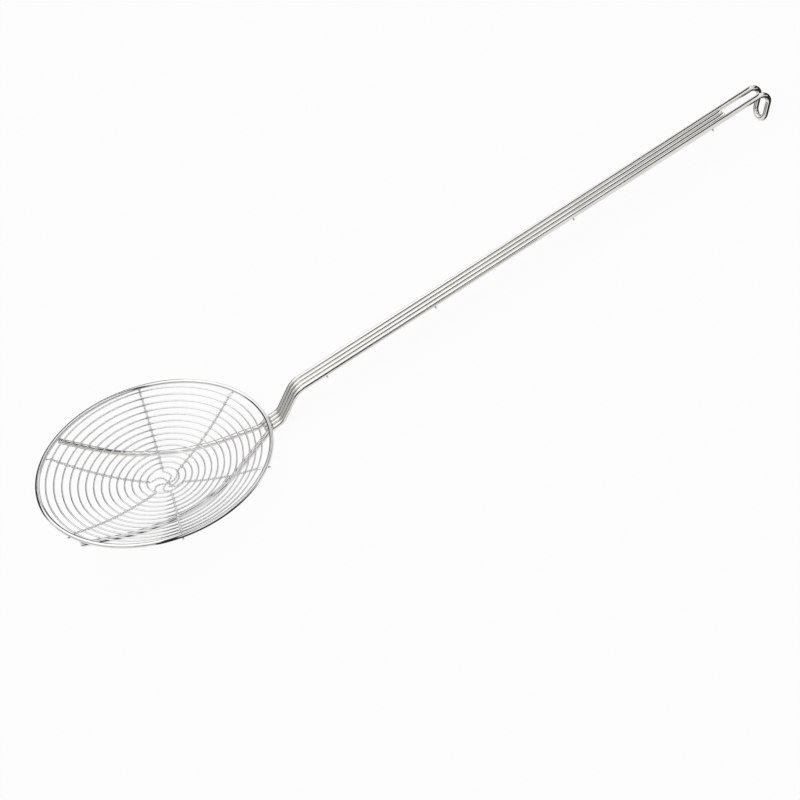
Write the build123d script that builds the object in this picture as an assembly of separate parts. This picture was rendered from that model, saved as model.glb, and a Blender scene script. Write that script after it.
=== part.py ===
from build123d import *
from math import atan, cos, degrees, hypot, pi, radians, sin, sqrt, tan
import os

# A wire spider skimmer, drawn with its rim flat: the rim's centre is the origin, +X runs to the handle and
# +Z up out of the bowl. At the end it is tipped as it lies on a table, on its cradle and its hook.

# Rim: one round wire, its ends butt welded; round wires are drawn with this many flats
rim_radius = 100.0
rim_wire = 4.0
round_sides = 10

# Mesh: one spiral wire, wound clockwise inwards, that lies in the bowl of a paraboloid
bowl_depth = 24.6
mesh_wire = 1.5
mesh_rim_gap = 1.3
mesh_turns = 13.87
mesh_last_radius = 11.2
mesh_start_angle = -135.0
# The first stretch bends out to the rim
mesh_end_reach = 1.9
mesh_end_turns = 0.1
# The turns are wound by hand: a little narrower at this angle than across it
mesh_oval_share = -0.0126
mesh_oval_angle = -2.7
# How far the turns' own centre wanders, as shares of the rim's radius, at the rim and at the hub
mesh_outer_shift_shares = (0.0033, 0.0126)
mesh_inner_shift_shares = (0.0385, 0.0060)
mesh_sides = 4

# Spokes: three doubled wires, each from rim to rim, twisted round every turn that they cross
strand_wire = 0.9
strand_gap = 0.2
strand_tail = 3.4
strand_tail_rise = 1.4
strand_sides = 4
hub_crossing = (4.4, -4.6)
hub_bend_reach = 15.0
hub_aim_side = 1.0
# Each doubled wire's two arms, by the angle of the rim end and the sideways swing of the S bend
spoke_arms = {
    "spoke_wire_1": ((85.0, 4.8), (-89.9, 5.4)),
    "spoke_wire_2": ((33.2, 3.2), (-147.3, 5.8)),
    "spoke_wire_3": ((-32.5, 5.2), (149.3, 4.8)),
}
hub_layers = {"spoke_wire_1": 0, "spoke_wire_2": -1, "spoke_wire_3": 1}

# Handle: four rods side by side; the outer two are one wire, which is also the hook and the cradle
rod_wire = 4.7
rod_gap = 0.1
weld_gap = 0.1
crank_low_run = 11.9
crank_low_rise = 4.7
crank_low_bend = 11.0
crank_high_run = 17.6
crank_high_rise = 25.0
crank_high_bend = 22.0
pass_bend = 12.0
pass_angle = 24.0
handle_run = 442.1
handle_angle = 17.48
inner_rod_short = 40.6
inner_rod_reach = 3.4
# The hook's legs lean back to the handle, and its right side stands this much further out than its left
hook_leg = 29.6
hook_lean = 17.1
hook_skew = 1.35
hook_bend = 6.7
hook_bow_share = 0.485

# Cradle: the outer wire's two ends, which pass under the bowl and up to the rim's far side
kink_run = 5.8
kink_drop = 5.1
cradle_gap = 0.15
cradle_tip_reach = 1.2
cradle_far_angles = (134.5, -140.6)
# Corners of the two routes seen from above, as shares of the rim's radius; a bend passes inside each
left_corner_shares = ((-0.216, 0.483), (0.368, 0.247))
right_corner_shares = ((-0.228, -0.576), (0.372, -0.460))
cradle_run_share = 0.48

# Cross ties: short wires welded across the underside of the four rods
tie_wire = 1.8
tie_length = 19.0
tie_gap = 0.05
# Places along the straight of the handle, as shares of its run
tie_shares = (0.061, 0.2925, 0.584, 0.8755)


def bowl_height(x, y):
    """Height of the mesh wire's centre line at a point seen from above."""
    return bowl_depth * ((x * x + y * y) / rim_radius**2 - 1)


def tube(points, radii, width):
    """A round wire along straight runs joined by tangent arcs, checked against its length."""
    path = FilletPolyline(points, radius=radii)
    section = RegularPolygon(width / 2, round_sides)
    solid = sweep(Plane(path @ 0, z_dir=path % 0) * section, path=path)
    ratio = solid.volume / (section.area * path.length)
    print("wire of length", round(path.length, 1), "volume ratio", round(ratio, 4))
    return solid, path


def rim_ring():
    """The rim: a round wire bent to a full circle."""
    section = Plane.XZ * Pos(rim_radius, 0) * RegularPolygon(rim_wire / 2, round_sides)
    return revolve(section, axis=Axis.Z)


def fitted_radius(before, corner, after, share):
    """The radius whose arc takes a share of the shorter run beside a corner."""
    run_in = Vector(*corner) - Vector(*before)
    run_out = Vector(*after) - Vector(*corner)
    turn = radians(run_in.get_angle(run_out))
    return share * min(run_in.length, run_out.length) / tan(turn / 2)


# The spiral's plan
mesh_outer_radius = rim_radius - rim_wire / 2 - mesh_wire / 2 - mesh_rim_gap
mesh_pitch = (mesh_outer_radius - mesh_last_radius) / mesh_turns


def spiral_point(turn):
    """The mesh wire's centre line, turn 0 at the rim."""
    radius = mesh_outer_radius - mesh_pitch * turn
    inward = 1 - radius / mesh_outer_radius
    angle = radians(mesh_start_angle) - 2 * pi * turn
    radius *= 1 + mesh_oval_share * cos(2 * (angle - radians(mesh_oval_angle)))
    radius += mesh_end_reach * max(0, 1 - turn / mesh_end_turns) ** 2
    outer, inner = mesh_outer_shift_shares, mesh_inner_shift_shares
    x = rim_radius * (outer[0] + (inner[0] - outer[0]) * inward) + radius * cos(angle)
    y = rim_radius * (outer[1] + (inner[1] - outer[1]) * inward) + radius * sin(angle)
    return Vector(x, y, bowl_height(x, y))


def spiral_heading(turn):
    """Unit tangent of the spiral, from two points a little share of a turn on either side."""
    step_share = 1 / 10000
    return (spiral_point(turn + step_share) - spiral_point(turn - step_share)).normalized()


def biarc(start, start_heading, end, end_heading):
    """Two arcs that share a tangent, with control arms of equal length."""
    across = end - start
    both = start_heading + end_heading
    lean = across.dot(both)
    spread = 2 * (1 - start_heading.dot(end_heading))
    arm = (sqrt(lean * lean + spread * across.dot(across)) - lean) / spread
    near = start + start_heading * arm
    far = end - end_heading * arm
    middle = (near + far) * 0.5
    return [
        Edge.make_tangent_arc(start, start_heading, middle),
        Edge.make_tangent_arc(middle, far - near, end),
    ]


def mesh_spiral():
    """The spiral wire, swept along biarcs of a quarter turn each."""
    count = round(mesh_turns * 4)
    stops = [mesh_turns * i / count for i in range(count + 1)]
    edges = []
    for a, b in zip(stops, stops[1:]):
        edges += biarc(spiral_point(a), spiral_heading(a), spiral_point(b), spiral_heading(b))
    path = Wire(edges)
    plane = Plane(spiral_point(0), z_dir=spiral_heading(0))
    solid = sweep(plane * RegularPolygon(mesh_wire / 2, mesh_sides), path=path)
    print("mesh wire of length", round(path.length, 1), "turns", mesh_turns)
    return solid


def spiral_gap():
    """The least clear gap between neighbouring turns, measured on points."""
    samples = 72
    last = int((mesh_turns - 1) * samples)
    return min(
        (spiral_point(i / samples) - spiral_point(i / samples + 1)).length for i in range(last)
    ) - mesh_wire


class Arm:
    """One arm of a doubled spoke wire: straight from the rim, then half of the hub's S bend."""

    def __init__(self, angle, swing):
        self.rim_way = (cos(radians(angle)), sin(radians(angle)))
        x = rim_radius * self.rim_way[0] - hub_crossing[0]
        y = rim_radius * self.rim_way[1] - hub_crossing[1]
        self.length = hypot(x, y)
        self.out_way = (x / self.length, y / self.length)
        self.swing = swing

    def bend(self, out):
        """How far the arm lies to its clockwise side, by the distance out from the hub."""
        if out < hub_bend_reach:
            share = out / hub_bend_reach
            return self.swing * sin(pi * share) - hub_aim_side * share
        return -hub_aim_side * (self.length - out) / (self.length - hub_bend_reach)

    def point(self, out, beside=0):
        """A place on the arm seen from above, with a step to its clockwise side."""
        side = self.bend(out) + beside
        way_x, way_y = self.out_way
        return hub_crossing[0] + way_x * out + way_y * side, hub_crossing[1] + way_y * out - way_x * side

    def crossings(self):
        """How far out the arm meets each turn of the mesh wire, the innermost first."""
        samples = 180
        places = []
        before = None
        for i in range(int(mesh_turns * samples) + 1):
            point = spiral_point(i / samples)
            x, y = point.X - hub_crossing[0], point.Y - hub_crossing[1]
            out = x * self.out_way[0] + y * self.out_way[1]
            off = x * self.out_way[1] - y * self.out_way[0] - self.bend(out)
            if before and out > 0 and before[1] * off <= 0:
                places.append(before[0] + (out - before[0]) * before[1] / (before[1] - off))
            before = (out, off)
        return sorted(places)

    def strand_points(self, side, layer):
        """One strand's points from the hub outwards.

        The two strands turn half way round each other from one mesh turn to the next: one passes over
        and one under each mesh wire, and they lie side by side half way between.
        """
        over = (mesh_wire + strand_wire) / 2 + strand_gap
        beside = (strand_wire + strand_gap) / 2
        lift = layer * (strand_wire + strand_gap)
        crossings = self.crossings()
        first_gap = crossings[1] - crossings[0]
        quiet = crossings[0] - min(first_gap, crossings[0]) / 2
        stations = [(0, 1, lift), (quiet / 2, 1, lift / 2), (quiet, 1, 0)]
        way = 1
        for i, out in enumerate(crossings):
            if self.length - out < rim_wire / 2 + mesh_wire + strand_wire:
                stations.append((out, -way, -over))
                continue
            way = 1 if i % 2 == 0 else -1
            stations.append((out, 0, side * over * way))
            if i + 1 < len(crossings):
                stations.append(((out + crossings[i + 1]) / 2, -way, 0))
        points = []
        for out, beside_way, rise in stations:
            x, y = self.point(out, side * beside * beside_way)
            points.append((x, y, bowl_height(*self.point(out)) + rise))
        # The tail passes under the rim and is snipped just outside it
        under = -(rim_wire + strand_wire) / 2 - 2 * strand_gap
        way_x, way_y = self.rim_way
        shift = -side * beside * way
        for reach, height in ((0, under), (strand_tail, under + strand_tail_rise)):
            out = rim_radius + reach
            points.append((out * way_x + way_y * shift, out * way_y - way_x * shift, height))
        return points


def strand(arms, side, layer):
    """One strand of a doubled spoke wire, rim to rim through the hub's S bend."""
    first, second = [Arm(*arm) for arm in arms]
    points = first.strand_points(side, layer)[::-1] + second.strand_points(-side, layer)[1:]
    path = Polyline(points)
    section = Plane(path @ 0, z_dir=path % 0) * RegularPolygon(strand_wire / 2, strand_sides)
    return sweep(section, path=path, transition=Transition.RIGHT)


# The handle's side view, from the rim out: each place is (x, z)
rod_pitch = rod_wire + rod_gap
rod_rows = (1.5, 0.5, -0.5, -1.5)
row_span = rod_rows[0] - rod_rows[-1]
pass_height = -((rim_wire + rod_wire) / 2 + weld_gap) / cos(radians(pass_angle))
rim_pass = (rim_radius, pass_height)
kink = (rim_radius - kink_run, pass_height - kink_drop)
crank_low = (rim_radius + crank_low_run, pass_height + crank_low_rise)
crank_high = (crank_low[0] + crank_high_run, crank_low[1] + crank_high_rise)


def on_handle(run):
    """A place on the straight of the handle, by its run from the crank."""
    return crank_high[0] + run, crank_high[1] + run * tan(radians(handle_angle))


def rod_run(row):
    """How far a rod's row reaches from the crank: the hook stands a little askew."""
    return handle_run - hook_skew * row / row_span


def hook_leg_places(row):
    """The two ends of one leg of the hook, in the side view."""
    x, z = on_handle(rod_run(row))
    lean = radians(hook_lean)
    return (x, z), (x - hook_leg * sin(lean), z - hook_leg * cos(lean))


def beside(place, row):
    """A side view place, moved to a rod's row across the handle."""
    return place[0], row * rod_pitch, place[1]


def cradle_corners(angle, corner_shares):
    """One cradle wire's corners from its tip under the far rim to the last before the handle."""
    tip_height = -((rim_wire + rod_wire) / 2 + weld_gap) * sqrt(1 + (2 * bowl_depth / rim_radius) ** 2)
    out = rim_radius + cradle_tip_reach
    corners = [(out * cos(radians(angle)), out * sin(radians(angle)), tip_height)]
    plan = [(rim_radius * x, rim_radius * y) for x, y in corner_shares]
    (ax, ay), (bx, by) = plan
    nearest = abs(ax * by - ay * bx) / hypot(bx - ax, by - ay)
    mesh_underside = mesh_wire / 2 + strand_wire + strand_gap
    low = bowl_height(nearest, 0) - mesh_underside - cradle_gap - rod_wire / 2
    return corners + [(x, y, low) for x, y in plan]


def handle_outer_wire():
    """One wire: left cradle, outer rod, hook, the other outer rod, right cradle."""
    sides = []
    for row, angle, shares in (
        (rod_rows[0], cradle_far_angles[0], left_corner_shares),
        (rod_rows[-1], cradle_far_angles[1], right_corner_shares),
    ):
        corners = cradle_corners(angle, shares)
        places = (kink, rim_pass, crank_low, crank_high) + hook_leg_places(row)
        corners += [beside(p, row) for p in places]
        radii = [
            fitted_radius(corners[0], corners[1], corners[2], cradle_run_share),
            fitted_radius(corners[1], corners[2], corners[3], cradle_run_share),
            pass_bend,
            pass_bend,
            crank_low_bend,
            crank_high_bend,
            hook_bend,
            hook_bow_share * row_span * rod_pitch,
        ]
        sides.append((corners, radii))
    (left, left_radii), (right, right_radii) = sides
    print("outer wire's bend radii", [round(r, 1) for r in left_radii], [round(r, 1) for r in right_radii])
    return tube(left + right[::-1], left_radii + right_radii[::-1], rod_wire)


def inner_rod(row):
    """An inner rod, from just inside the rim to short of the hook."""
    start_x = rim_radius - inner_rod_reach
    start = (start_x, rim_pass[1] - inner_rod_reach * kink_drop / kink_run)
    places = [start, rim_pass, crank_low, crank_high, on_handle(rod_run(row) - inner_rod_short)]
    radii = [pass_bend, crank_low_bend, crank_high_bend]
    return tube([beside(p, row) for p in places], radii, rod_wire)[0]


def cross_tie(share):
    """A short wire across the underside of the rods."""
    x, z = on_handle(handle_run * share)
    below = (rod_wire + tie_wire) / 2 + tie_gap
    slope = radians(handle_angle)
    place = Vector(x + below * sin(slope), 0, z - below * cos(slope))
    return Plane(place, z_dir=(0, 1, 0)) * Cylinder(tie_wire / 2, tie_length)


def resting_angle(path):
    """How far the flat rim tips when the cradle and the hook's foot both lie on a table."""
    foot_x, foot_z = hook_leg_places(0)[1]
    foot = foot_z - rod_wire / 2
    samples = 400
    points = [path @ (i / samples) for i in range(samples + 1)]
    slopes = [
        (foot - (p.Z - rod_wire / 2)) / (foot_x - p.X) for p in points if p.X < rim_radius
    ]
    return degrees(atan(max(slopes)))


outer_wire, outer_path = handle_outer_wire()
parts = {
    "rim_ring": rim_ring(),
    "mesh_spiral": mesh_spiral(),
    "handle_outer_wire": outer_wire,
    "inner_rod_left": inner_rod(rod_rows[1]),
    "inner_rod_right": inner_rod(rod_rows[2]),
}
for name, arms in spoke_arms.items():
    for label, side in (("a", 1), ("b", -1)):
        parts[name + label] = strand(arms, side, hub_layers[name])
for number, share in enumerate(tie_shares, start=1):
    parts["cross_tie_" + str(number)] = cross_tie(share)

# Tip it as it lies at rest, then bring the middle of its foot print to the origin
tip = resting_angle(outer_path)
parts = {name: Rotation(0, tip, 0) * part for name, part in parts.items()}
box = Compound(children=[Solid(p.wrapped) for p in parts.values()]).bounding_box()
shift = Location((-box.center().X, -box.center().Y, -box.min.Z))
print("tipped by", round(tip, 3), "degrees, moved by", shift.position, "size", box.size)
print("least gap between turns of the mesh", round(spiral_gap(), 2))

os.makedirs("parts", exist_ok=True)
for name, part in parts.items():
    export_step(shift * part, "parts/" + name + ".step")
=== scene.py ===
import logging
import math
from dataclasses import dataclass, field
from enum import Enum
from functools import cached_property

import bpy
import numpy as np
from bpy.types import ID, Material, Node, NodeSocket, NodeTree, Object
from mathutils import Matrix, Vector


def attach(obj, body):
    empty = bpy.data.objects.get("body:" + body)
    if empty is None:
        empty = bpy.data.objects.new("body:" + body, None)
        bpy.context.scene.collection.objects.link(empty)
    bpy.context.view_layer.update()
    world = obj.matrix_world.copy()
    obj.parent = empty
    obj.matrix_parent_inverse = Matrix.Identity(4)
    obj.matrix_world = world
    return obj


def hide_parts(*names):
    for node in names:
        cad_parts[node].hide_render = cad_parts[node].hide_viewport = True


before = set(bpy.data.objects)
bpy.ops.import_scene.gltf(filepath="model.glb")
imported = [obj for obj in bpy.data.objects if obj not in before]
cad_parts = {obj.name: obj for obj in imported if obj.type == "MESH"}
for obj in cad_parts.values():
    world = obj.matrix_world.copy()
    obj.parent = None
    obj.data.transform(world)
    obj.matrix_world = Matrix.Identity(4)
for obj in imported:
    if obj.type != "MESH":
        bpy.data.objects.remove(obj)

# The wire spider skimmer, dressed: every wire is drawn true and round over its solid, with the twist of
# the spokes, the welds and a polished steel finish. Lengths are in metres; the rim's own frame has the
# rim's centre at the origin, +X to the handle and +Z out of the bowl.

MM = 0.001
LOG = logging.getLogger("skimmer")
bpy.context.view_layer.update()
WHITE = (1.0, 1.0, 1.0, 1.0)

Array = np.ndarray
Pair = tuple[float, float]
Triple = tuple[float, float, float]
Sockets = bpy.types.bpy_prop_collection


class Slot(Enum):
    """The record's material slots."""

    HANDLE = "handle_wire"
    RIM = "rim_wire"
    MESH = "mesh_wire"
    SPOKE = "spoke_wire"
    TIE = "tie_wire"


class WireEnd(Enum):
    """How a wire ends: pairs of a distance from the end and the radius there, in radii of the wire."""

    CROPPED = ((0.0, 0.82), (0.10, 0.94), (0.28, 1.0))
    SNIPPED = ((0.0, 0.35), (0.25, 0.74), (0.7, 0.95), (1.2, 1.0))


# ---------------- sizes shared by several pieces
@dataclass(frozen=True)
class BowlShape:
    """The rim's circle and the bowl that hangs in it.

    The full wires are the solids' own thickness, by which the wires lie against each other.
    """

    radius: float = 100.0 * MM
    depth: float = 24.6 * MM
    rim_wire: float = 3.82 * MM
    full_rim_wire: float = 4.0 * MM
    mesh_wire: float = 1.46 * MM
    full_mesh_wire: float = 1.5 * MM

    def height(self, x: Array, y: Array) -> Array:
        """Height over plan points: a paraboloid, nothing at the rim and minus the depth at its centre."""
        return self.depth * ((x * x + y * y) / self.radius**2 - 1.0)


@dataclass(frozen=True)
class RestPose:
    """How the skimmer lies on a table: tipped about Y on its cradle and its hook, then moved."""

    tip: float = math.radians(17.259)
    shift: Triple = (-247.027 * MM, 0.166 * MM, 39.702 * MM)

    def turn(self, ways: Array) -> Array:
        """Turns directions of the rim's frame into the table's frame."""
        c, s = math.cos(self.tip), math.sin(self.tip)
        return np.asarray(ways, float) @ np.array([[c, 0.0, -s], [0.0, 1.0, 0.0], [s, 0.0, c]])

    def place(self, points: Array) -> Array:
        """Turns points of the rim's frame, then moves them, into the table's frame."""
        return self.turn(points) + np.array(self.shift)


BOWL = BowlShape()
REST = RestPose()


# ---------------- shapes
def unit(ways: Array) -> Array:
    """Scales each direction to a length of one."""
    return ways / np.linalg.norm(ways, axis=-1, keepdims=True)


def run_along(line: Array) -> Array:
    """Distance along a line of points, from its first."""
    return np.r_[0.0, np.cumsum(np.linalg.norm(np.diff(line, axis=0), axis=1))]


def at_runs(line: Array, runs: Array) -> Array:
    """The line's points at some distances along it, straight between its own points."""
    own = run_along(line)
    return np.stack([np.interp(runs, own, line[:, k]) for k in range(3)], axis=1)


def ease(x: Array, places: Array, values: Array) -> Array:
    """A smooth curve through values at places.

    Between two places the share t of the way is eased to 3 t squared minus 2 t cubed, so the curve is
    level at every place.

    Args:
        x: where to read the curve.
        places: rising positions.
        values: the value at each place.

    Returns:
        The curve's value at each x.
    """
    index = np.clip(np.searchsorted(places, x) - 1, 0, len(places) - 2)
    start, stop = places[index], places[index + 1]
    t = np.clip((x - start) / (stop - start), 0.0, 1.0)
    t = t * t * (3.0 - 2.0 * t)
    return values[index] + (values[index + 1] - values[index]) * t


def filleted(corners: Array, radii: list[float], step: float) -> Array:
    """Straight runs joined by tangent arcs.

    At a corner with half angle h the arc of radius r starts r / tan h before the corner, and its centre
    lies r / sin h from the corner on the bisector.

    Args:
        corners: the route's corners, the two ends included.
        radii: one radius for each inner corner.
        step: longest step along an arc.

    Returns:
        Points along the route, the runs' own ends included.
    """
    pieces = [corners[:1]]
    for before, corner, after, radius in zip(corners, corners[1:], corners[2:], radii):
        back, on = unit(before - corner), unit(after - corner)
        half = 0.5 * math.acos(float(np.clip(back @ on, -1.0, 1.0)))
        start = corner + back * radius / math.tan(half)
        centre = corner + unit(back + on) * radius / math.sin(half)
        swing = math.pi - 2.0 * half
        t = np.linspace(0.0, swing, max(3, math.ceil(swing * radius / step) + 1))[:, None]
        pieces.append(centre + (start - centre) * np.cos(t) - back * radius * np.sin(t))
    pieces.append(corners[-1:])
    return np.concatenate(pieces)


def mirrored(ways: Array, across: Array) -> Array:
    """Mirrors directions in the planes square to others: takes out twice the share along them."""
    share = np.sum(ways * across, axis=1) / np.sum(across * across, axis=1)
    return ways - 2 * share[:, None] * across


def steady_frames(line: Array, closed: bool) -> tuple[Array, Array]:
    """Two directions square to the line at each point, which don't spin about it.

    A first pair is taken from the nearest axis. Each normal is then carried to the next point by two
    reflections, and the angle by which it misses the next normal is summed along the line and taken out.

    Args:
        line: the points.
        closed: whether the last point joins the first.

    Returns:
        The two directions at each point.
    """
    ahead = np.roll(line, -1, axis=0) if closed else np.vstack([line[1:], 2 * line[-1] - line[-2]])
    behind = np.roll(line, 1, axis=0) if closed else np.vstack([2 * line[0] - line[1], line[:-1]])
    tangent = unit(unit(ahead - line) + unit(line - behind))
    axis = np.eye(3)[np.argmin(np.abs(tangent), axis=1)]
    first = unit(np.cross(tangent, axis))
    second = np.cross(tangent, first)
    step = ahead - line
    next_tangent, next_first, next_second = (np.roll(a, -1, axis=0) for a in (tangent, first, second))
    carried = mirrored(mirrored(first, step), next_tangent - mirrored(tangent, step))
    slip = np.arctan2(np.sum(carried * next_second, axis=1), np.sum(carried * next_first, axis=1))
    if closed:
        miss = (np.sum(slip) + math.pi) % (2 * math.pi) - math.pi
        slip = slip - miss / len(line)
    spin = np.r_[0.0, np.cumsum(slip)[:-1]][:, None]
    return first * np.cos(spin) + second * np.sin(spin), second * np.cos(spin) - first * np.sin(spin)


@dataclass
class Shell:
    """Arrays of a surface before it becomes a mesh."""

    points: Array
    quads: Array
    quad_uv: Array
    fans: Array
    heat: Array


def fan(hub: int, first: int, sides: int, way: int) -> Array:
    """Triangles between a hub point and the ring that starts at first, facing by way, 1 or -1."""
    j = np.arange(sides)
    return np.stack([np.full(sides, hub), first + j, first + (j + 1) % sides], -1)[:, ::way]


def tube(line: Array, radius: Array, sides: int, closed: bool, heat: Array) -> Shell:
    """A round tube: the circle of the two steady directions carried along the line.

    A point is the line's point plus radius times (first cos a + second sin a), with a from 0 to a full
    turn. Open ends are closed with a fan round the line's end.

    Args:
        line: centre line in the table's frame.
        radius: the tube's radius at each point.
        sides: flats round the tube.
        closed: whether the line is a loop.
        heat: how near a weld each point is, 0 to 1.

    Returns:
        The surface's arrays.
    """
    first, second = steady_frames(line, closed)
    angle = np.arange(sides) * 2 * math.pi / sides
    ring = first[:, None] * np.cos(angle)[None, :, None] + second[:, None] * np.sin(angle)[None, :, None]
    points = (line[:, None] + ring * radius[:, None, None]).reshape(-1, 3)
    count = len(line)
    rows = np.arange(count if closed else count - 1)
    i, j = np.meshgrid(rows, np.arange(sides), indexing="ij")
    up, on = (i + 1) % count, (j + 1) % sides
    quads = np.stack([i * sides + j, i * sides + on, up * sides + on, up * sides + j], -1).reshape(-1, 4)
    runs = run_along(np.vstack([line, line[:1]]))
    u0, u1, v0, v1 = j / sides, (j + 1) / sides, runs[i], runs[i + 1]
    uv = np.stack([u0, v0, u1, v0, u1, v1, u0, v1], -1).reshape(-1, 4, 2)
    heats = np.repeat(heat, sides)
    fans = np.zeros((0, 3), int)
    if not closed:
        hub = len(points)
        points = np.vstack([points, line[0], line[-1]])
        heats = np.r_[heats, heat[0], heat[-1]]
        fans = np.vstack([fan(hub, 0, sides, -1), fan(hub + 1, (count - 1) * sides, sides, 1)])
    return Shell(points, quads, uv, fans, heats)


def mound(centre: Array, axes: Array, seed: int) -> Shell:
    """A small lump of weld metal: an ellipsoid, a little uneven.

    A point is the centre plus the three half axes times (cos a sin b, sin a sin b, cos b), all times one
    plus a small ripple that is even at the poles.

    Args:
        centre: middle of the lump.
        axes: three rows, the half axes, right-handed.
        seed: picks the ripple.

    Returns:
        The surface's arrays.
    """
    around, down, row_length = 14, 8, 0.4 * MM
    ripple_share, fine_share, phase = 0.07, 0.6, 1.7 * seed
    a = np.arange(around) * 2 * math.pi / around
    b = np.linspace(0.0, math.pi, down + 1)[1:-1]
    aa, bb = np.meshgrid(a, b)
    waves = np.sin(2 * aa + phase) + fine_share * np.sin(3 * aa - 2 * phase)
    ripple = 1 + ripple_share * np.sin(bb) * waves
    ball = np.stack([np.cos(aa) * np.sin(bb), np.sin(aa) * np.sin(bb), np.cos(bb)], -1)
    points = ((ball * ripple[..., None]) @ axes + centre).reshape(-1, 3)
    rows, cols = np.meshgrid(np.arange(down - 2), np.arange(around), indexing="ij")
    this, below, on = rows * around, (rows + 1) * around, (cols + 1) % around
    quads = np.stack([this + cols, below + cols, below + on, this + on], -1).reshape(-1, 4)
    u0, u1, v0, v1 = cols / around, (cols + 1) / around, rows * row_length, (rows + 1) * row_length
    uv = np.stack([u0, v0, u0, v1, u1, v1, u1, v0], -1).reshape(-1, 4, 2)
    hub = len(points)
    fans = np.vstack([fan(hub, 0, around, 1), fan(hub + 1, (down - 2) * around, around, -1)])
    points = np.vstack([points, centre + axes[2], centre - axes[2]])
    return Shell(points, quads, uv, fans, np.ones(len(points)))


def linked(name: str, data: ID) -> Object:
    """Makes an object of some data and links it to the scene."""
    made = bpy.data.objects.new(name, data)
    bpy.context.scene.collection.objects.link(made)
    return made


def make_piece(name: str, shells: list[Shell], finish: Material) -> Object:
    """Puts surfaces into one mesh object that rides on the skimmer.

    Args:
        name: the piece's name.
        shells: its surfaces, in the table's frame.
        finish: its material.

    Returns:
        The new object, at the origin.
    """
    starts = np.cumsum([0] + [len(s.points) for s in shells])
    points = np.vstack([s.points for s in shells])
    quads = np.vstack([s.quads + n for s, n in zip(shells, starts)])
    fans = np.vstack([s.fans + n for s, n in zip(shells, starts)])
    quad_uv = np.vstack([s.quad_uv for s in shells]).reshape(-1, 2)
    mesh = bpy.data.meshes.new(name)
    mesh.vertices.add(len(points))
    mesh.vertices.foreach_set("co", points.astype(np.float32).ravel())
    corners = np.r_[quads.ravel(), fans.ravel()].astype(np.int32)
    sizes = np.r_[np.full(len(quads), 4), np.full(len(fans), 3)].astype(np.int32)
    mesh.loops.add(len(corners))
    mesh.loops.foreach_set("vertex_index", corners)
    mesh.polygons.add(len(sizes))
    mesh.polygons.foreach_set("loop_start", np.r_[0, np.cumsum(sizes)[:-1]].astype(np.int32))
    mesh.polygons.foreach_set("use_smooth", sizes == 4)
    layer = mesh.uv_layers.new(name="wire")
    fan_uv = np.tile([0.5, 0.0], (fans.size, 1))
    layer.data.foreach_set("uv", np.vstack([quad_uv, fan_uv]).astype(np.float32).ravel())
    heat = mesh.attributes.new("heat", "FLOAT", "POINT")
    heat.data.foreach_set("value", np.concatenate([s.heat for s in shells]).astype(np.float32))
    mesh.update(calc_edges=True)
    mesh.validate()
    mesh.materials.append(finish)
    piece = linked(name, mesh)
    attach(piece, "root")
    LOG.info("%s: %d triangles, finish %s", name, 2 * len(quads) + len(fans), finish.name)
    return piece


# ---------------- finishes
@dataclass(frozen=True)
class NodePlan:
    """A small helper that adds shader nodes to a tree and joins them."""

    tree: NodeTree

    @classmethod
    def bare(cls, owner: ID) -> "NodePlan":
        """Turns on the nodes of a material or world and empties them."""
        owner.use_nodes = True
        owner.node_tree.nodes.clear()
        return cls(owner.node_tree)

    def add(self, kind: str, **inputs: object) -> Node:
        """Adds one node and sets or joins its inputs.

        Args:
            kind: Blender's name of the node.
            inputs: the socket's name with underscores for spaces, or s0, s1 for a socket by number, and
                a value or another node's output. Names that start with a capital are sockets, others
                are the node's own settings.

        Returns:
            The node.
        """
        node = self.tree.nodes.new(kind)
        for key, value in inputs.items():
            if key[0].islower() and not (key[0] == "s" and key[1:].isdigit()):
                setattr(node, key, value)
                continue
            socket = node.inputs[int(key[1:])] if key[0] == "s" else node.inputs[key.replace("_", " ")]
            if isinstance(value, NodeSocket):
                self.tree.links.new(value, socket)
            else:
                socket.default_value = value
        return node

    def math(self, operation: str, *values: object, **settings: object) -> NodeSocket:
        """Adds a Math node with its values in order, and gives its result."""
        numbered = {f"s{k}": value for k, value in enumerate(values)}
        return self.add("ShaderNodeMath", operation=operation, **numbered, **settings).outputs[0]

    def mixed(self, share: object, first: object, second: object) -> NodeSocket:
        """Adds a node that mixes two colours by a share, and gives its result."""
        return self.add("ShaderNodeMix", data_type="RGBA", s0=share, s6=first, s7=second).outputs[2]

    def join(self, node: Node, **sources: NodeSocket) -> None:
        """Joins outputs to a node's inputs, which are named with underscores for spaces."""
        for key, source in sources.items():
            self.tree.links.new(source, node.inputs[key.replace("_", " ")])


def new_group(name: str, inputs: dict[str, str], outputs: dict[str, str]) -> tuple[NodePlan, Sockets, Node]:
    """Makes an empty shader node group.

    Args:
        name: the group's name.
        inputs: names and socket types of what goes in.
        outputs: names and socket types of what comes out.

    Returns:
        A plan of the group's tree, the sockets that bring its inputs, and its output node.
    """
    tree = bpy.data.node_groups.new(name, "ShaderNodeTree")
    for way, sockets in (("INPUT", inputs), ("OUTPUT", outputs)):
        for label, kind in sockets.items():
            tree.interface.new_socket(name=label, in_out=way, socket_type=kind)
    plan = NodePlan(tree)
    return plan, plan.add("NodeGroupInput").outputs, plan.add("NodeGroupOutput")


FLOAT, VECTOR, COLOR = "NodeSocketFloat", "NodeSocketVector", "NodeSocketColor"


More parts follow.
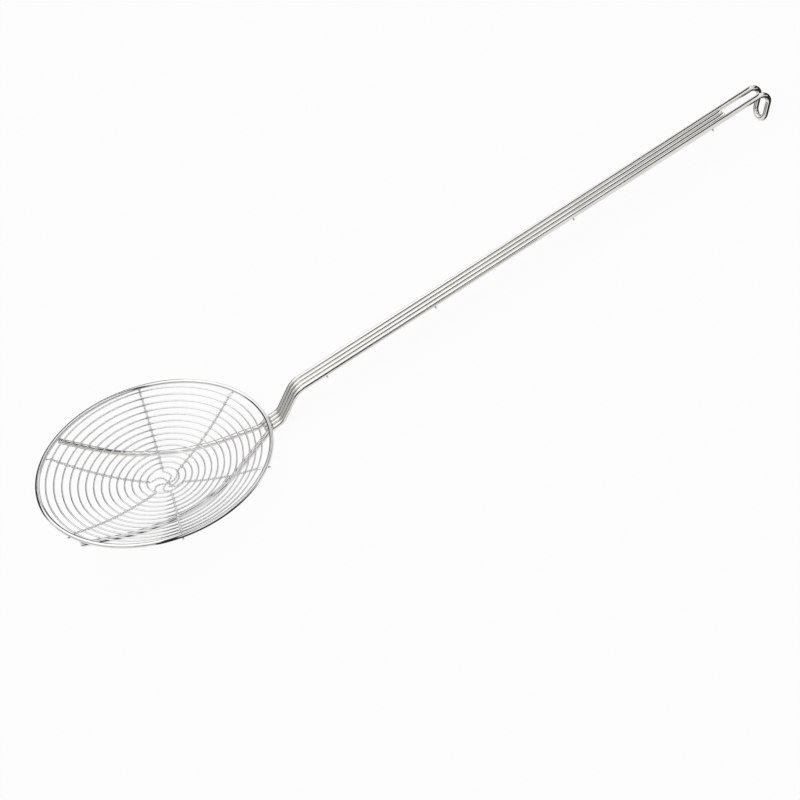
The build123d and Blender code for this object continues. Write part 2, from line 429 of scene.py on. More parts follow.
@dataclass
class SteelEffects:
    """The node groups that all the steel finishes share."""

    lines_along: float = 22.0
    line_noise: Pair = (0.3, 0.7)
    patch_scale: float = 38.0
    patch_noise: Pair = (0.42, 0.68)
    tinted_heat: Pair = (0.12, 0.75)
    tint_share: float = 0.55

    @cached_property
    def lines(self) -> NodeTree:
        """Fine lines that the drawing die leaves along a wire: noise stretched along the run.

        Returns:
            The group, from the wire's own UV to a height and a roughness.
        """
        plan, given, out = new_group(
            "Drawn wire lines",
            {"UV": VECTOR, "Lines Around": FLOAT, "Low": FLOAT, "High": FLOAT},
            {"Height": FLOAT, "Roughness": FLOAT},
        )
        split = plan.add("ShaderNodeSeparateXYZ", Vector=given["UV"])
        turn = plan.math("MULTIPLY", split.outputs["X"], 2 * math.pi)
        across = plan.math("MULTIPLY", plan.math("COSINE", turn), given["Lines Around"])
        side = plan.math("MULTIPLY", plan.math("SINE", turn), given["Lines Around"])
        along = plan.math("MULTIPLY", split.outputs["Y"], self.lines_along)
        place = plan.add("ShaderNodeCombineXYZ", X=across, Y=side, Z=along).outputs[0]
        noise = plan.add("ShaderNodeTexNoise", Vector=place, Scale=1.0, Detail=3.0, Roughness=0.6)
        low, high = self.line_noise
        rough = plan.add("ShaderNodeMapRange", Value=noise.outputs["Fac"], From_Min=low, From_Max=high)
        plan.join(rough, To_Min=given["Low"], To_Max=given["High"])
        plan.join(out, Height=noise.outputs["Fac"], Roughness=rough.outputs["Result"])
        return plan.tree

    @cached_property
    def handling(self) -> NodeTree:
        """Soft patches where the steel is duller from use: broad noise in the object's own space.

        Returns:
            The group, from a position to a mask and a colour.
        """
        plan, given, out = new_group(
            "Handled steel",
            {"Position": VECTOR, "Clean": COLOR, "Dull": COLOR, "Amount": FLOAT},
            {"Mask": FLOAT, "Color": COLOR},
        )
        broad = plan.add("ShaderNodeTexNoise", Scale=self.patch_scale, Detail=4.0, Roughness=0.55)
        plan.join(broad, Vector=given["Position"])
        low, high = self.patch_noise
        mask = plan.add("ShaderNodeMapRange", Value=broad.outputs["Fac"], From_Min=low, From_Max=high)
        share = plan.math("MULTIPLY", mask.outputs["Result"], given["Amount"])
        plan.join(out, Mask=share, Color=plan.mixed(share, given["Clean"], given["Dull"]))
        return plan.tree

    @cached_property
    def bluing(self) -> NodeTree:
        """The straw and grey tint that a spot weld leaves: a ring of colour by nearness to the weld.

        Returns:
            The group, from the heat mask and a steel colour to a tinted colour and its share.
        """
        plan, given, out = new_group(
            "Weld tint", {"Heat": FLOAT, "Steel": COLOR, "Tint": COLOR}, {"Color": COLOR, "Mask": FLOAT}
        )
        low, high = self.tinted_heat
        ring = plan.add("ShaderNodeMapRange", Value=given["Heat"], From_Min=low, From_Max=high)
        ring.interpolation_type = "SMOOTHSTEP"
        share = plan.math("MULTIPLY", ring.outputs["Result"], self.tint_share)
        plan.join(out, Color=plan.mixed(share, given["Steel"], given["Tint"]), Mask=share)
        return plan.tree


@dataclass(frozen=True)
class SteelFinish:
    """A polished stainless steel wire."""

    name: str
    clean: Triple
    dull: Triple
    roughness: Pair
    lines_around: float
    line_depth: float
    tint: Triple = (0.42, 0.33, 0.22)
    dull_amount: float = 0.5
    dull_roughness: float = 0.10
    weld_roughness: float = 0.22
    line_strength: float = 0.5

    def material(self, effects: SteelEffects) -> Material:
        """Builds the material.

        Args:
            effects: the shared node groups.

        Returns:
            The material.
        """
        made = bpy.data.materials.new(self.name)
        made.use_nodes = True
        plan = NodePlan(made.node_tree)
        low, high = self.roughness
        lines = plan.add(
            "ShaderNodeGroup", node_tree=effects.lines, Lines_Around=self.lines_around, Low=low, High=high
        )
        plan.join(lines, UV=plan.add("ShaderNodeUVMap", uv_map="wire").outputs["UV"])
        handling = plan.add(
            "ShaderNodeGroup",
            node_tree=effects.handling,
            Position=plan.add("ShaderNodeTexCoord").outputs["Object"],
            Clean=(*self.clean, 1.0),
            Dull=(*self.dull, 1.0),
            Amount=self.dull_amount,
        )
        heat = plan.add("ShaderNodeAttribute", attribute_name="heat").outputs["Fac"]
        tint = plan.add("ShaderNodeGroup", node_tree=effects.bluing, Heat=heat, Tint=(*self.tint, 1.0))
        plan.join(tint, Steel=handling.outputs["Color"])
        handled, welded = handling.outputs["Mask"], tint.outputs["Mask"]
        rough = plan.math("MULTIPLY_ADD", handled, self.dull_roughness, lines.outputs["Roughness"])
        rough = plan.math("MULTIPLY_ADD", welded, self.weld_roughness, rough)
        bump = plan.add("ShaderNodeBump", Strength=self.line_strength, Distance=self.line_depth)
        plan.join(bump, Height=lines.outputs["Height"])
        shader = made.node_tree.nodes["Principled BSDF"]
        shader.inputs["Metallic"].default_value = 1.0
        plan.join(shader, Base_Color=tint.outputs["Color"], Roughness=rough, Normal=bump.outputs["Normal"])
        return made


class Steel(Enum):
    """The steel of each kind of wire."""

    ROD = SteelFinish("Polished rod", (0.72, 0.71, 0.69), (0.63, 0.62, 0.60), (0.07, 0.13), 9.0, 0.008 * MM)
    RIM = SteelFinish(
        "Polished rim wire", (0.76, 0.76, 0.75), (0.67, 0.67, 0.66), (0.06, 0.12), 8.0, 0.008 * MM
    )
    MESH = SteelFinish(
        "Bright mesh wire", (0.78, 0.78, 0.78), (0.70, 0.70, 0.70), (0.10, 0.18), 5.0, 0.004 * MM
    )
    STRAND = SteelFinish(
        "Bright twisted strand", (0.80, 0.80, 0.80), (0.72, 0.72, 0.72), (0.12, 0.20), 4.0, 0.004 * MM
    )
    WELD = SteelFinish(
        "Weld metal",
        (0.54, 0.52, 0.49),
        (0.38, 0.36, 0.33),
        (0.26, 0.40),
        5.0,
        0.04 * MM,
        tint=(0.36, 0.29, 0.21),
        dull_amount=0.7,
    )


Finishes = dict[Steel, Material]


# ---------------- wires
@dataclass
class WeldSpots:
    """Every weld of the skimmer, by its place in the rim's frame."""

    places: list[Array] = field(default_factory=list)
    across: list[Array] = field(default_factory=list)
    reach: float = 4.5 * MM

    def add(self, place: Array, ways: Array, sizes: Triple) -> None:
        """Adds a weld at a place, with the ways of its three half axes as rows, and their sizes."""
        self.places.append(np.asarray(place, float))
        self.across.append(ways * np.array(sizes)[:, None])

    def heat(self, line: Array) -> Array:
        """How near each point is to a weld: e to the power of minus the square of distance over reach."""
        away = np.linalg.norm(line[:, None] - np.array(self.places)[None], axis=2).min(axis=1)
        return np.exp(-((away / self.reach) ** 2))

    def build(self, finish: Material) -> None:
        """Makes all the weld lumps as one piece."""
        shells = [
            mound(REST.place(place), REST.turn(axes), seed)
            for seed, (place, axes) in enumerate(zip(self.places, self.across))
        ]
        make_piece("weld_lumps", shells, finish)


@dataclass
class Wire:
    """A length of round wire that is swept along a centre line."""

    name: str
    nodes: tuple[str, ...]
    radius: float
    sides: int
    slot: Slot
    ends: WireEnd = WireEnd.CROPPED
    closed: bool = False

    def build(self, line: Array, finish: Material, welds: WeldSpots, swell: Array | float = 1.0) -> None:
        """Makes the wire's piece, which stands for its nodes.

        Near an end the radius follows the ends' profile. A closed wire has no end, and may swell.

        Args:
            line: centre line in the rim's frame.
            finish: the material.
            welds: the spots that heat the wire.
            swell: factor on a closed wire's radius at each point.
        """
        if self.closed:
            radius = np.full(len(line), self.radius) * swell
        else:
            own = run_along(line)
            reach, width = np.array(self.ends.value).T * self.radius
            runs = np.unique(np.r_[own, reach, own[-1] - reach])
            line = at_runs(line, runs)
            radius = np.interp(np.minimum(runs, own[-1] - runs), reach, width)
        shell = tube(REST.place(line), radius, self.sides, self.closed, welds.heat(line))
        piece = make_piece(self.name, [shell], finish)
        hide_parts(*self.nodes)


@dataclass
class Rim:
    """The rim: one wire bent to a circle and butt welded."""

    weld_at: float = math.radians(62.0)
    weld_swell: float = 0.05
    weld_width: float = 1.6 * MM
    stations: int = 420
    sides: int = 20

    def build(self, finishes: Finishes, welds: WeldSpots) -> None:
        """Sweeps the rim round its circle, a little thicker at the butt weld."""
        angle = np.arange(self.stations) * 2 * math.pi / self.stations
        line = np.stack([np.cos(angle), np.sin(angle), 0 * angle], 1) * BOWL.radius
        away = ((angle - self.weld_at + math.pi) % (2 * math.pi) - math.pi) * BOWL.radius
        swell = 1 + self.weld_swell * np.exp(-((away / self.weld_width) ** 2))
        wire = Wire("rim", ("rim_ring",), BOWL.rim_wire / 2, self.sides, Slot.RIM, closed=True)
        wire.build(line, finishes[Steel.RIM], welds, swell)


@dataclass
class MeshSpiral:
    """The long mesh wire that winds clockwise into the bowl."""

    gap_to_rim: float = 1.3 * MM
    turns: float = 13.87
    last_radius: float = 11.2 * MM
    start_angle: float = math.radians(-135.0)
    end_reach: float = 1.9 * MM
    end_turns: float = 0.1
    oval_share: float = -0.0126
    oval_angle: float = math.radians(-2.7)
    outer_shift: Pair = (0.33 * MM, 1.26 * MM)
    inner_shift: Pair = (3.85 * MM, 0.60 * MM)
    samples: int = 24000
    step: float = 1.25 * MM
    sides: int = 10

    @property
    def outer_radius(self) -> float:
        """Radius at the outer end, inside the rim by the gap."""
        return BOWL.radius - BOWL.full_rim_wire / 2 - BOWL.full_mesh_wire / 2 - self.gap_to_rim

    def line(self, turn: Array) -> Array:
        """The wire's centre line: the radius falls steadily, times a slight oval, on a wandering centre.

        Args:
            turn: turns from the outer end.

        Returns:
            Points in the rim's frame, on the bowl.
        """
        radius = self.outer_radius - (self.outer_radius - self.last_radius) / self.turns * turn
        inward = 1 - radius / self.outer_radius
        angle = self.start_angle - 2 * math.pi * turn
        radius = radius * (1 + self.oval_share * np.cos(2 * (angle - self.oval_angle)))
        radius = radius + self.end_reach * np.maximum(0, 1 - turn / self.end_turns) ** 2
        around = (radius * np.cos(angle), radius * np.sin(angle))
        shifts = zip(self.outer_shift, self.inner_shift, around)
        x, y = (outer + (inner - outer) * inward + swung for outer, inner, swung in shifts)
        return np.stack([x, y, BOWL.height(x, y)], axis=1)

    def build(self, finishes: Finishes, welds: WeldSpots) -> None:
        """Sweeps the spiral, at even stations along it."""
        fine = self.line(np.linspace(0, self.turns, self.samples))
        runs = run_along(fine)
        stations = np.linspace(0, runs[-1], int(runs[-1] / self.step))
        half = BOWL.mesh_wire / 2
        wire = Wire("mesh_wire", ("mesh_spiral",), half, self.sides, Slot.MESH, WireEnd.SNIPPED)
        wire.build(at_runs(fine, stations), finishes[Steel.MESH], welds)


@dataclass
class SpokeArm:
    """Half of a doubled spoke wire, from the hub's crossing out to the rim."""

    spiral: MeshSpiral
    angle: float
    swing: float
    strand: float = 0.88 * MM
    hub: Pair = (4.4 * MM, -4.6 * MM)
    bend_reach: float = 15.0 * MM
    aim_side: float = 1.0 * MM
    half_turns: int = 3
    late_reach: float = 4.4 * MM
    wire_gap: float = 0.03 * MM
    strand_gap: float = 0.02 * MM
    opening: float = 2.6 * MM
    opening_share: float = 0.3
    lift_left: float = 0.6
    lift_places: Pair = (0.45, 0.9)
    samples: int = 6000
    step: float = 0.22 * MM
    tail: float = 3.2 * MM
    tail_rise: float = 1.3 * MM
    tail_points: int = 16

    def __post_init__(self) -> None:
        """Works out the arm's direction and its length in plan."""
        self.rim_way = np.array([math.cos(self.angle), math.sin(self.angle)])
        span = self.rim_way * BOWL.radius - np.array(self.hub)
        self.length = float(np.linalg.norm(span))
        self.out_way = span / self.length
        self.side_way = np.array([self.out_way[1], -self.out_way[0]])

    def bend(self, out: Array) -> Array:
        """Distance to the arm's clockwise side: half a sine wave at the hub, then a line to the rim."""
        share = out / self.bend_reach
        near = self.swing * np.sin(math.pi * share) - self.aim_side * share
        far = -self.aim_side * (self.length - out) / (self.length - self.bend_reach)
        return np.where(out < self.bend_reach, near, far)

    def crossings(self) -> Array:
        """Distances out from the hub at which the arm meets the mesh wire, the innermost first."""
        plan = self.spiral.line(np.linspace(0, self.spiral.turns, self.samples))[:, :2] - np.array(self.hub)
        out, off = plan @ self.out_way, plan @ self.side_way
        off = off - self.bend(out)
        meets = (off[:-1] * off[1:] <= 0) & (out[:-1] > 0)
        share = off[:-1] / (off[:-1] - off[1:])
        return np.sort((out[:-1] + (out[1:] - out[:-1]) * share)[meets])

    def plan(self, out: Array, off: Array) -> Array:
        """Plan points some distances out from the hub and off to the arm's clockwise side."""
        return np.array(self.hub) + out[:, None] * self.out_way + off[:, None] * self.side_way

    def line(self, side: int, lift: float) -> Array:
        """One strand's centre line, from the hub out.

        The pair turns about its own middle line. At each mesh wire the turning angle is a quarter turn
        past a count of half turns, so one strand is over the wire and one under it. The distance from
        the middle line swells to clear the mesh wire and closes between two. The middle line follows the
        bowl, dips under the last mesh wires and the rim, and rises a little outside the rim.

        Args:
            side: 1 or -1, which of the two strands.
            lift: height of this pair's layer where the pairs cross.

        Returns:
            Points in the rim's frame.
        """
        meets = self.crossings()
        by_rim = self.length - meets <= self.late_reach
        kept, late = meets[~by_rim], meets[by_rim]
        clear = (BOWL.mesh_wire + self.strand) / 2 + self.wire_gap
        close = self.strand / 2 + self.strand_gap
        under = -(BOWL.rim_wire + self.strand) / 2 - self.wire_gap
        out = np.arange(0.0, self.length, self.step)

        quarter = math.pi / 2
        hub_turns = round(kept[0] / (kept[1] - kept[0]) * self.half_turns / 2 - 0.25)
        angles = quarter + math.pi * self.half_turns * np.arange(len(kept))
        angles = np.r_[-2 * math.pi * hub_turns, angles, angles[-1] + quarter]
        phase = np.interp(out, np.r_[0.0, kept, self.length], angles)

        middles = (kept[:-1] + kept[1:]) / 2
        opens = max(kept[0] - self.opening, self.opening_share * kept[0])
        spots = np.r_[0.0, opens, kept, middles, self.length]
        widths = np.full(len(spots), close)
        widths[2 : 2 + len(kept)] = clear
        order = np.argsort(spots)
        spread = ease(out, spots[order], widths[order])

        part_down, down = np.array(self.lift_places) * kept[0]
        dip_at = np.r_[0.0, part_down, down, kept[-1], late, self.length]
        at_rim = under - BOWL.height(*(self.rim_way * BOWL.radius))
        dips = np.r_[lift, lift * self.lift_left, 0.0, 0.0, np.full(len(late), -clear), at_rim]

        middle = self.plan(out, self.bend(out))
        inside = self.plan(out, self.bend(out) + side * spread * np.cos(phase))
        height = BOWL.height(*middle.T) + ease(out, dip_at, dips) + side * spread * np.sin(phase)
        past = np.linspace(0.0, self.tail, self.tail_points)
        rim_side = np.array([self.rim_way[1], -self.rim_way[0]])
        end_side = side * close * math.cos(angles[-1])
        outside = (BOWL.radius + past)[:, None] * self.rim_way + end_side * rim_side
        rise = under + self.tail_rise * (past / self.tail) ** 2
        return np.vstack([np.column_stack([inside, height]), np.column_stack([outside, rise])])


@dataclass
class Spokes:
    """Three doubled spoke wires that cross at the hub in S bends."""

    spiral: MeshSpiral
    layer_gap: float = 0.2 * MM
    sides: int = 8
    arms: tuple[tuple[Pair, Pair, int], ...] = (
        ((85.0, 4.8), (-89.9, 5.4), 0),
        ((33.2, 3.2), (-147.3, 5.8), -1),
        ((-32.5, 5.2), (149.3, 4.8), 1),
    )

    def build(self, finishes: Finishes, welds: WeldSpots) -> None:
        """Sweeps the six strands, each from rim to rim."""
        for number, (*ways, layer) in enumerate(self.arms, start=1):
            near, far = (SpokeArm(self.spiral, math.radians(angle), swing * MM) for angle, swing in ways)
            lift = layer * (near.strand + self.layer_gap)
            for label, side in ((f"{number}a", 1), (f"{number}b", -1)):
                line = np.vstack([near.line(side, lift)[::-1], far.line(-side, lift)[1:]])
                names = (f"spoke_{label}", (f"spoke_wire_{label}",))
                wire = Wire(*names, near.strand / 2, self.sides, Slot.SPOKE, WireEnd.SNIPPED)
                wire.build(line, finishes[Steel.STRAND], welds)


@dataclass
class Handle:
    """The four rods, of which the outer two are one wire with the hook and the cradle."""

    wire: float = 4.58 * MM
    full_wire: float = 4.7 * MM
    sides: int = 20
    pitch: float = 4.8 * MM
    rows: tuple[float, ...] = (-1.5, -0.5, 0.5, 1.5)
    weld_gap: float = 0.1 * MM
    pass_angle: float = math.radians(24.0)
    slope: float = math.tan(math.radians(17.48))
    low_crank: Pair = (11.9 * MM, 4.7 * MM)
    high_crank: Pair = (17.6 * MM, 25.0 * MM)
    kink: Pair = (-5.8 * MM, -5.1 * MM)
    run: float = 442.08 * MM
    hook_leg: float = 29.6 * MM
    hook_lean: float = math.radians(17.1)
    hook_skew: float = 1.35 * MM
    bends: tuple[float, ...] = (12.0 * MM, 12.0 * MM, 11.0 * MM, 22.0 * MM, 6.7 * MM, 6.984 * MM)
    bend_step: float = 0.8 * MM
    tint_step: float = 4.0 * MM
    inner_short: float = 40.6 * MM
    inner_reach: float = 3.4 * MM
    cradle_run_share: float = 0.48
    strand_room: float = 1.85 * MM
    cradle_gap: float = 0.15 * MM
    tip_reach: float = 1.2 * MM
    left_tip: float = math.radians(134.5)
    right_tip: float = math.radians(-140.6)
    left_plan: tuple[Pair, Pair] = ((-21.6 * MM, 48.3 * MM), (36.8 * MM, 24.7 * MM))
    right_plan: tuple[Pair, Pair] = ((-22.8 * MM, -57.6 * MM), (37.2 * MM, -46.0 * MM))
    rod_weld: Triple = (1.5 * MM, 1.7 * MM, 0.55 * MM)
    tip_weld: Triple = (1.4 * MM, 1.6 * MM, 0.55 * MM)

    @property
    def rim_drop(self) -> float:
        """Distance between the middles of the rim wire and a rod welded under it."""
        return (BOWL.full_rim_wire + self.full_wire) / 2 + self.weld_gap

    def crank(self) -> list[Pair]:
        """Where a rod passes under the rim and the crank's two bends, in the side view."""
        x, z = BOWL.radius, -self.rim_drop / math.cos(self.pass_angle)
        low_x, low_z = x + self.low_crank[0], z + self.low_crank[1]
        return [(x, z), (low_x, low_z), (low_x + self.high_crank[0], low_z + self.high_crank[1])]

    def on_rods(self, run: float) -> Pair:
        """A place on the straight of the handle, in the side view."""
        x, z = self.crank()[-1]
        return x + run, z + run * self.slope

    def run_of(self, row: float) -> float:
        """How far a row's rod reaches from the crank: the hook stands a little askew."""
        return self.run - self.hook_skew * row / 3

    def in_row(self, row: float, places: list[Pair]) -> list[Triple]:
        """Places of the side view, moved out to a row."""
        return [(x, row * self.pitch, z) for x, z in places]

    def cradle(self, angle: float, plan: tuple[Pair, Pair]) -> list[Triple]:
        """Corners of one cradle wire, from its tip under the far rim to the last before the handle.

        Args:
            angle: where its tip meets the rim.
            plan: the two corners seen from above.

        Returns:
            The three corners.
        """
        tip_z = -self.rim_drop * math.hypot(1.0, 2 * BOWL.depth / BOWL.radius)
        out = BOWL.radius + self.tip_reach
        (ax, ay), (bx, by) = plan
        nearest = abs(ax * by - ay * bx) / math.hypot(bx - ax, by - ay)
        low = float(BOWL.height(nearest, 0.0)) - self.strand_room - self.cradle_gap - self.full_wire / 2
        return [(out * math.cos(angle), out * math.sin(angle), tip_z), (ax, ay, low), (bx, by, low)]

    def side(self, row: float, angle: float, plan: tuple[Pair, Pair]) -> tuple[Array, list[float]]:
        """Half of the outer wire: its corners and its bend radii, from a cradle tip to the hook's foot.

        Args:
            row: which row of the handle, in pitches from the middle.
            angle: where the cradle tip meets the rim.
            plan: the cradle's two corners seen from above.

        Returns:
            The corners and one radius for each but the first.
        """
        crank = self.crank()
        (x, z), (top_x, top_z) = crank[0], self.on_rods(self.run_of(row))
        kink = (x + self.kink[0], z + self.kink[1])
        leg_x, leg_z = self.hook_leg * math.sin(self.hook_lean), self.hook_leg * math.cos(self.hook_lean)
        places = [kink, *crank, (top_x, top_z), (top_x - leg_x, top_z - leg_z)]
        corners = np.array(self.cradle(angle, plan) + self.in_row(row, places))
        radii = []
        for before, corner, after in zip(corners, corners[1:3], corners[2:4]):
            into, on = corner - before, after - corner
            turn = math.acos(float(unit(into) @ unit(on)))
            shorter = min(np.linalg.norm(into), np.linalg.norm(on))
            radii.append(float(self.cradle_run_share * shorter / math.tan(turn / 2)))
        return corners, radii + list(self.bends)

    def outer_line(self) -> Array:
        """The outer wire's whole route: cradle, rod, hook, rod, cradle."""
        left, left_radii = self.side(self.rows[-1], self.left_tip, self.left_plan)
        right, right_radii = self.side(self.rows[0], self.right_tip, self.right_plan)
        corners = np.vstack([left, right[::-1]])
        return filleted(corners, left_radii + right_radii[::-1], self.bend_step)

    def inner_line(self, row: float) -> Array:
        """An inner rod's route, from just inside the rim to short of the hook."""
        crank = self.crank()
        x, z = crank[0]
        start = (x - self.inner_reach, z - self.inner_reach * self.kink[1] / self.kink[0])
        end = self.on_rods(self.run_of(row) - self.inner_short)
        corners = np.array(self.in_row(row, [start, *crank, end]))
        return filleted(corners, list(self.bends[1:4]), self.bend_step)

    def add_welds(self, welds: WeldSpots) -> None:
        """Marks where the rods and the cradle tips are welded to the rim."""
        under = -BOWL.rim_wire / 2 - self.weld_gap
        for row in self.rows:
            welds.add((BOWL.radius, row * self.pitch, under), np.eye(3), self.rod_weld)
        for angle in (self.left_tip, self.right_tip):
            way = np.array([math.cos(angle), math.sin(angle), 0.0])
            ways = np.stack([way, [-way[1], way[0], 0.0], [0.0, 0.0, 1.0]])
            welds.add(way * BOWL.radius + ways[2] * under, ways, self.tip_weld)

    def build(self, finishes: Finishes, welds: WeldSpots) -> None:
        """Sweeps the outer wire and the two inner rods, with points on their runs where tints change."""
        for name, node, line in (
            ("outer_rod_hook_and_cradle", "handle_outer_wire", self.outer_line()),
            ("inner_rod_left_wire", "inner_rod_left", self.inner_line(self.rows[2])),
            ("inner_rod_right_wire", "inner_rod_right", self.inner_line(self.rows[1])),
        ):
            own = run_along(line)
            runs = np.unique(np.r_[own, np.arange(0.0, own[-1], self.tint_step)])
            wire = Wire(name, (node,), self.wire / 2, self.sides, Slot.HANDLE)
            wire.build(at_runs(line, runs), finishes[Steel.ROD], welds)


@dataclass
class CrossTies:
    """Short wires welded across the underside of the rods."""

    handle: Handle
    wire: float = 1.78 * MM
    length: float = 18.8 * MM
    shares: tuple[float, ...] = (0.061, 0.2925, 0.584, 0.8755)
    bow: float = 0.05 * MM
    weld: Triple = (1.1 * MM, 1.0 * MM, 0.42 * MM)
    points: int = 41
    sides: int = 12

    def __post_init__(self) -> None:
        """Works out the rods' way and the way square down from them."""
        slope = math.atan(self.handle.slope)
        self.along = np.array([math.cos(slope), 0.0, math.sin(slope)])
        self.down = np.array([math.sin(slope), 0.0, -math.cos(slope)])

    def middle(self, share: float) -> Array:
        """The middle of a tie, which lies square under the rods."""
        x, z = self.handle.on_rods(self.handle.run * share)
        return np.array([x, 0.0, z]) + self.down * (self.handle.full_wire + self.wire) / 2

    def add_welds(self, welds: WeldSpots) -> None:
        """Marks a weld where each tie crosses each rod."""
        ways = np.stack([self.along, np.cross(self.down, self.along), self.down])
        for share in self.shares:
            middle = self.middle(share) - self.down * self.wire / 2
            for row in self.handle.rows:
                welds.add(middle + [0.0, row * self.handle.pitch, 0.0], ways, self.weld)

    def build(self, finishes: Finishes, welds: WeldSpots) -> None:
        """Sweeps the ties, each a hair bowed towards the rods between its welds."""
        y = np.linspace(-0.5, 0.5, self.points) * self.length
        bow = self.bow * np.cos(2 * math.pi * y / self.handle.pitch)
        offset = y[:, None] * np.array([0.0, 1.0, 0.0]) - bow[:, None] * self.down
        for number, share in enumerate(self.shares, start=1):
            tie = Wire(f"tie_{number}", (f"cross_tie_{number}",), self.wire / 2, self.sides, Slot.TIE)
            tie.build(self.middle(share) + offset, finishes[Steel.ROD], welds)


# ---------------- stage
@dataclass
class Studio:
    """The floor, the soft lights, the reflection cards that paint dark and grey reflections in the steel,
    and the camera.
    """

    camera_place: Triple = (-19.293 * MM, -1225.942 * MM, 1027.913 * MM)
    focal_px: float = 1898.44
    picture_px: float = 800.0
    sensor_width: float = 36.0
    clip: Pair = (0.05, 50.0)
    right: Triple = (0.93401293, -0.31823727, -0.16231111)
    down: Triple = (-0.32720608, -0.57974391, -0.74621255)
    forward: Triple = (0.14337376, 0.75008135, -0.64561748)
    card_lift: float = 0.5 * MM
    bay_points: int = 25
    awning_points: int = 13
    awning_reach: float = 2.2
    floor_reach: float = 6.0
    floor_glow: float = 0.93
    floor_grey: float = 0.86
    fill: float = 0.55

    def camera(self) -> None:
        """Sets the camera at the photograph's place, turned and lensed to match it."""
        data = bpy.data.cameras.new("Camera")
        data.sensor_width = self.sensor_width
        data.lens = self.focal_px * self.sensor_width / self.picture_px
        data.clip_start, data.clip_end = self.clip
        camera = linked("Camera", data)
        right, down, forward = (REST.turn(np.array(way)) for way in (self.right, self.down, self.forward))
        place = REST.place(np.array(self.camera_place))
        turn = Matrix(np.stack([right, -down, -forward], axis=1).tolist()).to_4x4()
        camera.matrix_world = Matrix.Translation(Vector(place)) @ turn
        bpy.context.scene.camera = camera

    def bay(self, span: Pair, floor: Pair, high: float) -> list[Array]:
        """The shape of a painted reflection, laid out as a corner of the studio: part of a floor ring round
        the bowl and the wall behind it.

        Args:
            span: first and last direction from the bowl, in degrees.
            floor: the floor part's inner and outer radius.
            high: height of the wall.

        Returns:
            Rows of points.
        """
        angle = np.radians(np.linspace(*span, self.bay_points))
        ring = np.stack([np.cos(angle), np.sin(angle)], 1)
        return [
            np.column_stack([ring * reach + np.array(REST.shift[:2]), np.full(self.bay_points, height)])
            for reach, height in ((floor[0], self.card_lift), (floor[1], self.card_lift), (floor[1], high))
        ]

    def awning(self, stations: list[Triple]) -> list[Array]:
        """The shape of a painted dark reflection in the rods: a sheet that arches round the handle's line,
        from the camera's side to overhead.

        Args:
            stations: a place along the handle and the two edges' angles there, in degrees up from the
                camera's side.

        Returns:
            Rows of points.
        """
        rows = []
        for x, low, high in stations:
            angle = np.radians(np.linspace(low, high, self.awning_points))
            across, up = -np.cos(angle) * self.awning_reach, np.sin(angle) * self.awning_reach
            rows.append(np.column_stack([np.full(self.awning_points, x), across, up]))
        return rows

    @staticmethod
    def reflected(name: str, rows: list[Array], shade: Triple) -> None:
        """Adds a sheet of one plain colour, through rows of points, that only reflections show: it glows in
        its shade with no lamp behind it, as a painted reflection in the steel.

        Args:
            name: its name.
            rows: rows of equally many points.
            shade: its colour, which the steel shows as a painted reflection.
        """
        count = len(rows[0])
        i, j = np.meshgrid(np.arange(len(rows) - 1), np.arange(count - 1), indexing="ij")
        first = i * count + j
        faces = np.stack([first, first + 1, first + count + 1, first + count], -1)
        mesh = bpy.data.meshes.new(name)
        mesh.from_pydata(np.vstack(rows).tolist(), [], faces.reshape(-1, 4).tolist())
        card = linked(name, mesh)
        card.visible_camera = card.visible_shadow = card.visible_diffuse = False
        made = bpy.data.materials.new(name)
        plan = NodePlan.bare(made)
        # Painted reflection: the sheet glows in its own shade, and only the steel's reflections show it.
        glow = plan.add("ShaderNodeEmission", Color=(*shade, 1.0), Strength=1.0)
        plan.join(plan.add("ShaderNodeOutputMaterial"), Surface=glow.outputs[0])
        mesh.materials.append(made)

    @staticmethod
    def seen(plan: NodePlan) -> NodeSocket:
        """Adds up whether a ray comes from the camera, a glossy surface or through glass."""
        path = plan.add("ShaderNodeLightPath").outputs
        seen = plan.math("ADD", path["Is Camera Ray"], path["Is Glossy Ray"])
        return plan.math("ADD", seen, path["Is Transmission Ray"])

    def floor(self) -> None:
        """A white floor that stays white for the camera and in reflections, and keeps the shadow."""
        mesh = bpy.data.meshes.new("floor")
        reach = self.floor_reach
        corners = [(-reach, -reach, 0), (reach, -reach, 0), (reach, reach, 0), (-reach, reach, 0)]
        mesh.from_pydata(corners, [], [(0, 1, 2, 3)])
        floor = linked("floor", mesh)
        made = bpy.data.materials.new("White floor")
        plan = NodePlan.bare(made)
        share = plan.math("MULTIPLY", self.seen(plan), self.floor_glow, use_clamp=True)
        plain = plan.add("ShaderNodeBsdfDiffuse", Color=(*[self.floor_grey] * 3, 1.0))
        glow = plan.add("ShaderNodeEmission", Color=WHITE, Strength=1.0)
        mixed = plan.add("ShaderNodeMixShader", s0=share, s1=plain.outputs[0], s2=glow.outputs[0])
        plan.join(plan.add("ShaderNodeOutputMaterial"), Surface=mixed.outputs[0])
        mesh.materials.append(made)

    def world(self) -> None:
        """A white surround for the camera and for reflections, and a softer fill for the rest."""
        world = bpy.data.worlds.new("World")
        bpy.context.scene.world = world
        plan = NodePlan.bare(world)
        share = plan.math("MINIMUM", self.seen(plan), 1.0)
        level = plan.add("ShaderNodeMapRange", Value=share, To_Min=self.fill, To_Max=1.0)
        back = plan.add("ShaderNodeBackground", Color=WHITE, Strength=level.outputs["Result"])
        plan.join(plan.add("ShaderNodeOutputWorld"), Surface=back.outputs[0])

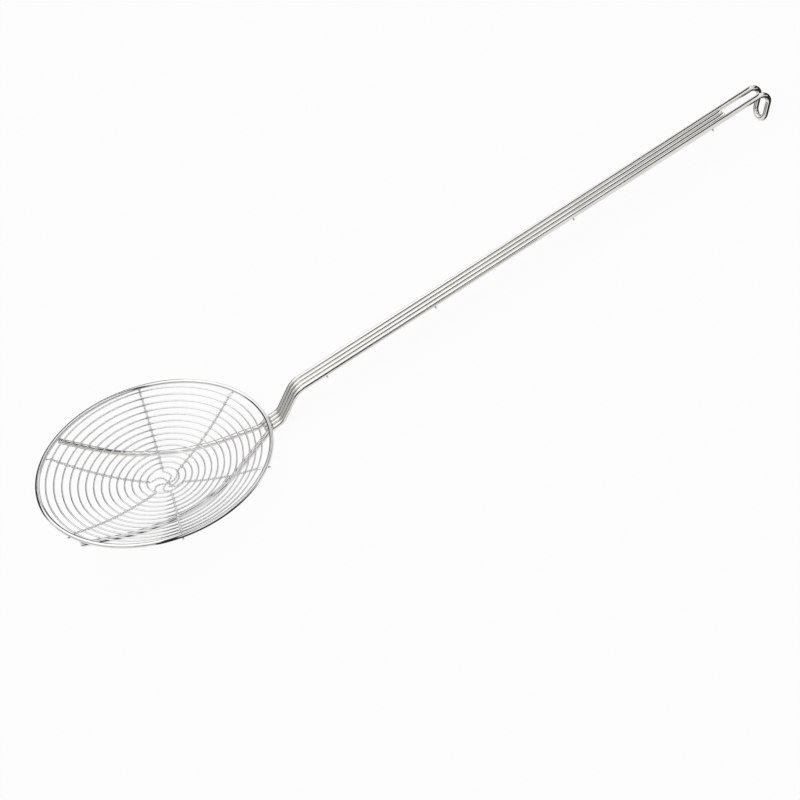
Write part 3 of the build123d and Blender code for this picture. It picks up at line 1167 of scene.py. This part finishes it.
    @staticmethod
    def softbox(name: str, place: Triple, size: float, watts: float, mirrored: bool) -> None:
        """A square soft light that faces the skimmer.

        Args:
            name: its name.
            place: its middle.
            size: its side.
            watts: its power.
            mirrored: whether reflections show it.
        """
        data = bpy.data.lights.new(name, "AREA")
        data.shape, data.size, data.energy = "SQUARE", size, watts
        lamp = linked(name, data)
        middle = Vector(place)
        turn = (-middle).to_track_quat("-Z", "Y").to_matrix().to_4x4()
        lamp.matrix_world = Matrix.Translation(middle) @ turn
        lamp.visible_glossy = mirrored

    def build(self) -> None:
        """Sets the whole stage."""
        self.camera()
        self.floor()
        self.world()
        self.softbox("Top softbox", (0.1, 0.5, 2.4), 3.6, 18.0, True)
        self.softbox("Left softbox", (-1.9, -0.8, 1.5), 1.6, 9.0, False)
        # Painted reflections: glowing dark and grey sheets round the bowl, an upright card and an arch over
        # the handle, seen only in the steel.
        dark, far_dark = (0.035, 0.032, 0.030), (0.040, 0.039, 0.038)
        for name, span, ring, high, shade in (
            ("Painted dark reflection near", (-112.0, -40.0), (0.108, 0.5), 0.12, (0.030, 0.028, 0.026)),
            ("Painted dark reflection front", (-40.0, -6.0), (1.2, 2.6), 0.9, dark),
            ("Painted dark reflection right", (-6.0, 30.0), (0.578, 2.6), 0.9, dark),
            ("Painted dark reflection far", (96.0, 156.0), (0.113, 2.6), 0.4, far_dark),
            ("Painted grey reflection left", (158.0, 248.0), (1.2, 2.6), 2.2, (0.60, 0.59, 0.57)),
        ):
            self.reflected(name, self.bay(span, ring, high), shade)
        foot = np.array([[x, 0.25, self.card_lift] for x in (-0.75, -0.36, -0.17)])
        rise = np.array([[0.0, 0.0, high] for high in (0.34, 0.30, 0.20)])
        self.reflected("Painted dark reflection far card", [foot, foot + rise], far_dark)
        awning = [
            (-2.2, 5.0, 26.0),
            (-0.52, 2.0, 30.0),
            (-0.34, 2.0, 45.0),
            (0.11, 40.0, 75.0),
            (0.716, 73.0, 140.0),
            (1.2, 106.0, 160.0),
        ]
        self.reflected("Painted dark reflection arch", self.awning(awning), (0.030, 0.025, 0.021))
        bpy.context.scene.view_settings.view_transform = "Standard"


def main() -> None:
    """Builds the stage and every piece of the skimmer, in order."""
    logging.basicConfig(level=logging.INFO, format="%(name)s: %(message)s")
    Studio().build()
    effects = SteelEffects()
    finishes = {steel: steel.value.material(effects) for steel in Steel}
    welds, spiral, handle = WeldSpots(), MeshSpiral(), Handle()
    ties = CrossTies(handle)
    handle.add_welds(welds)
    ties.add_welds(welds)
    for wires in (Rim(), spiral, Spokes(spiral), handle, ties):
        wires.build(finishes, welds)
    welds.build(finishes[Steel.WELD])


if __name__ == "__main__":
    main()
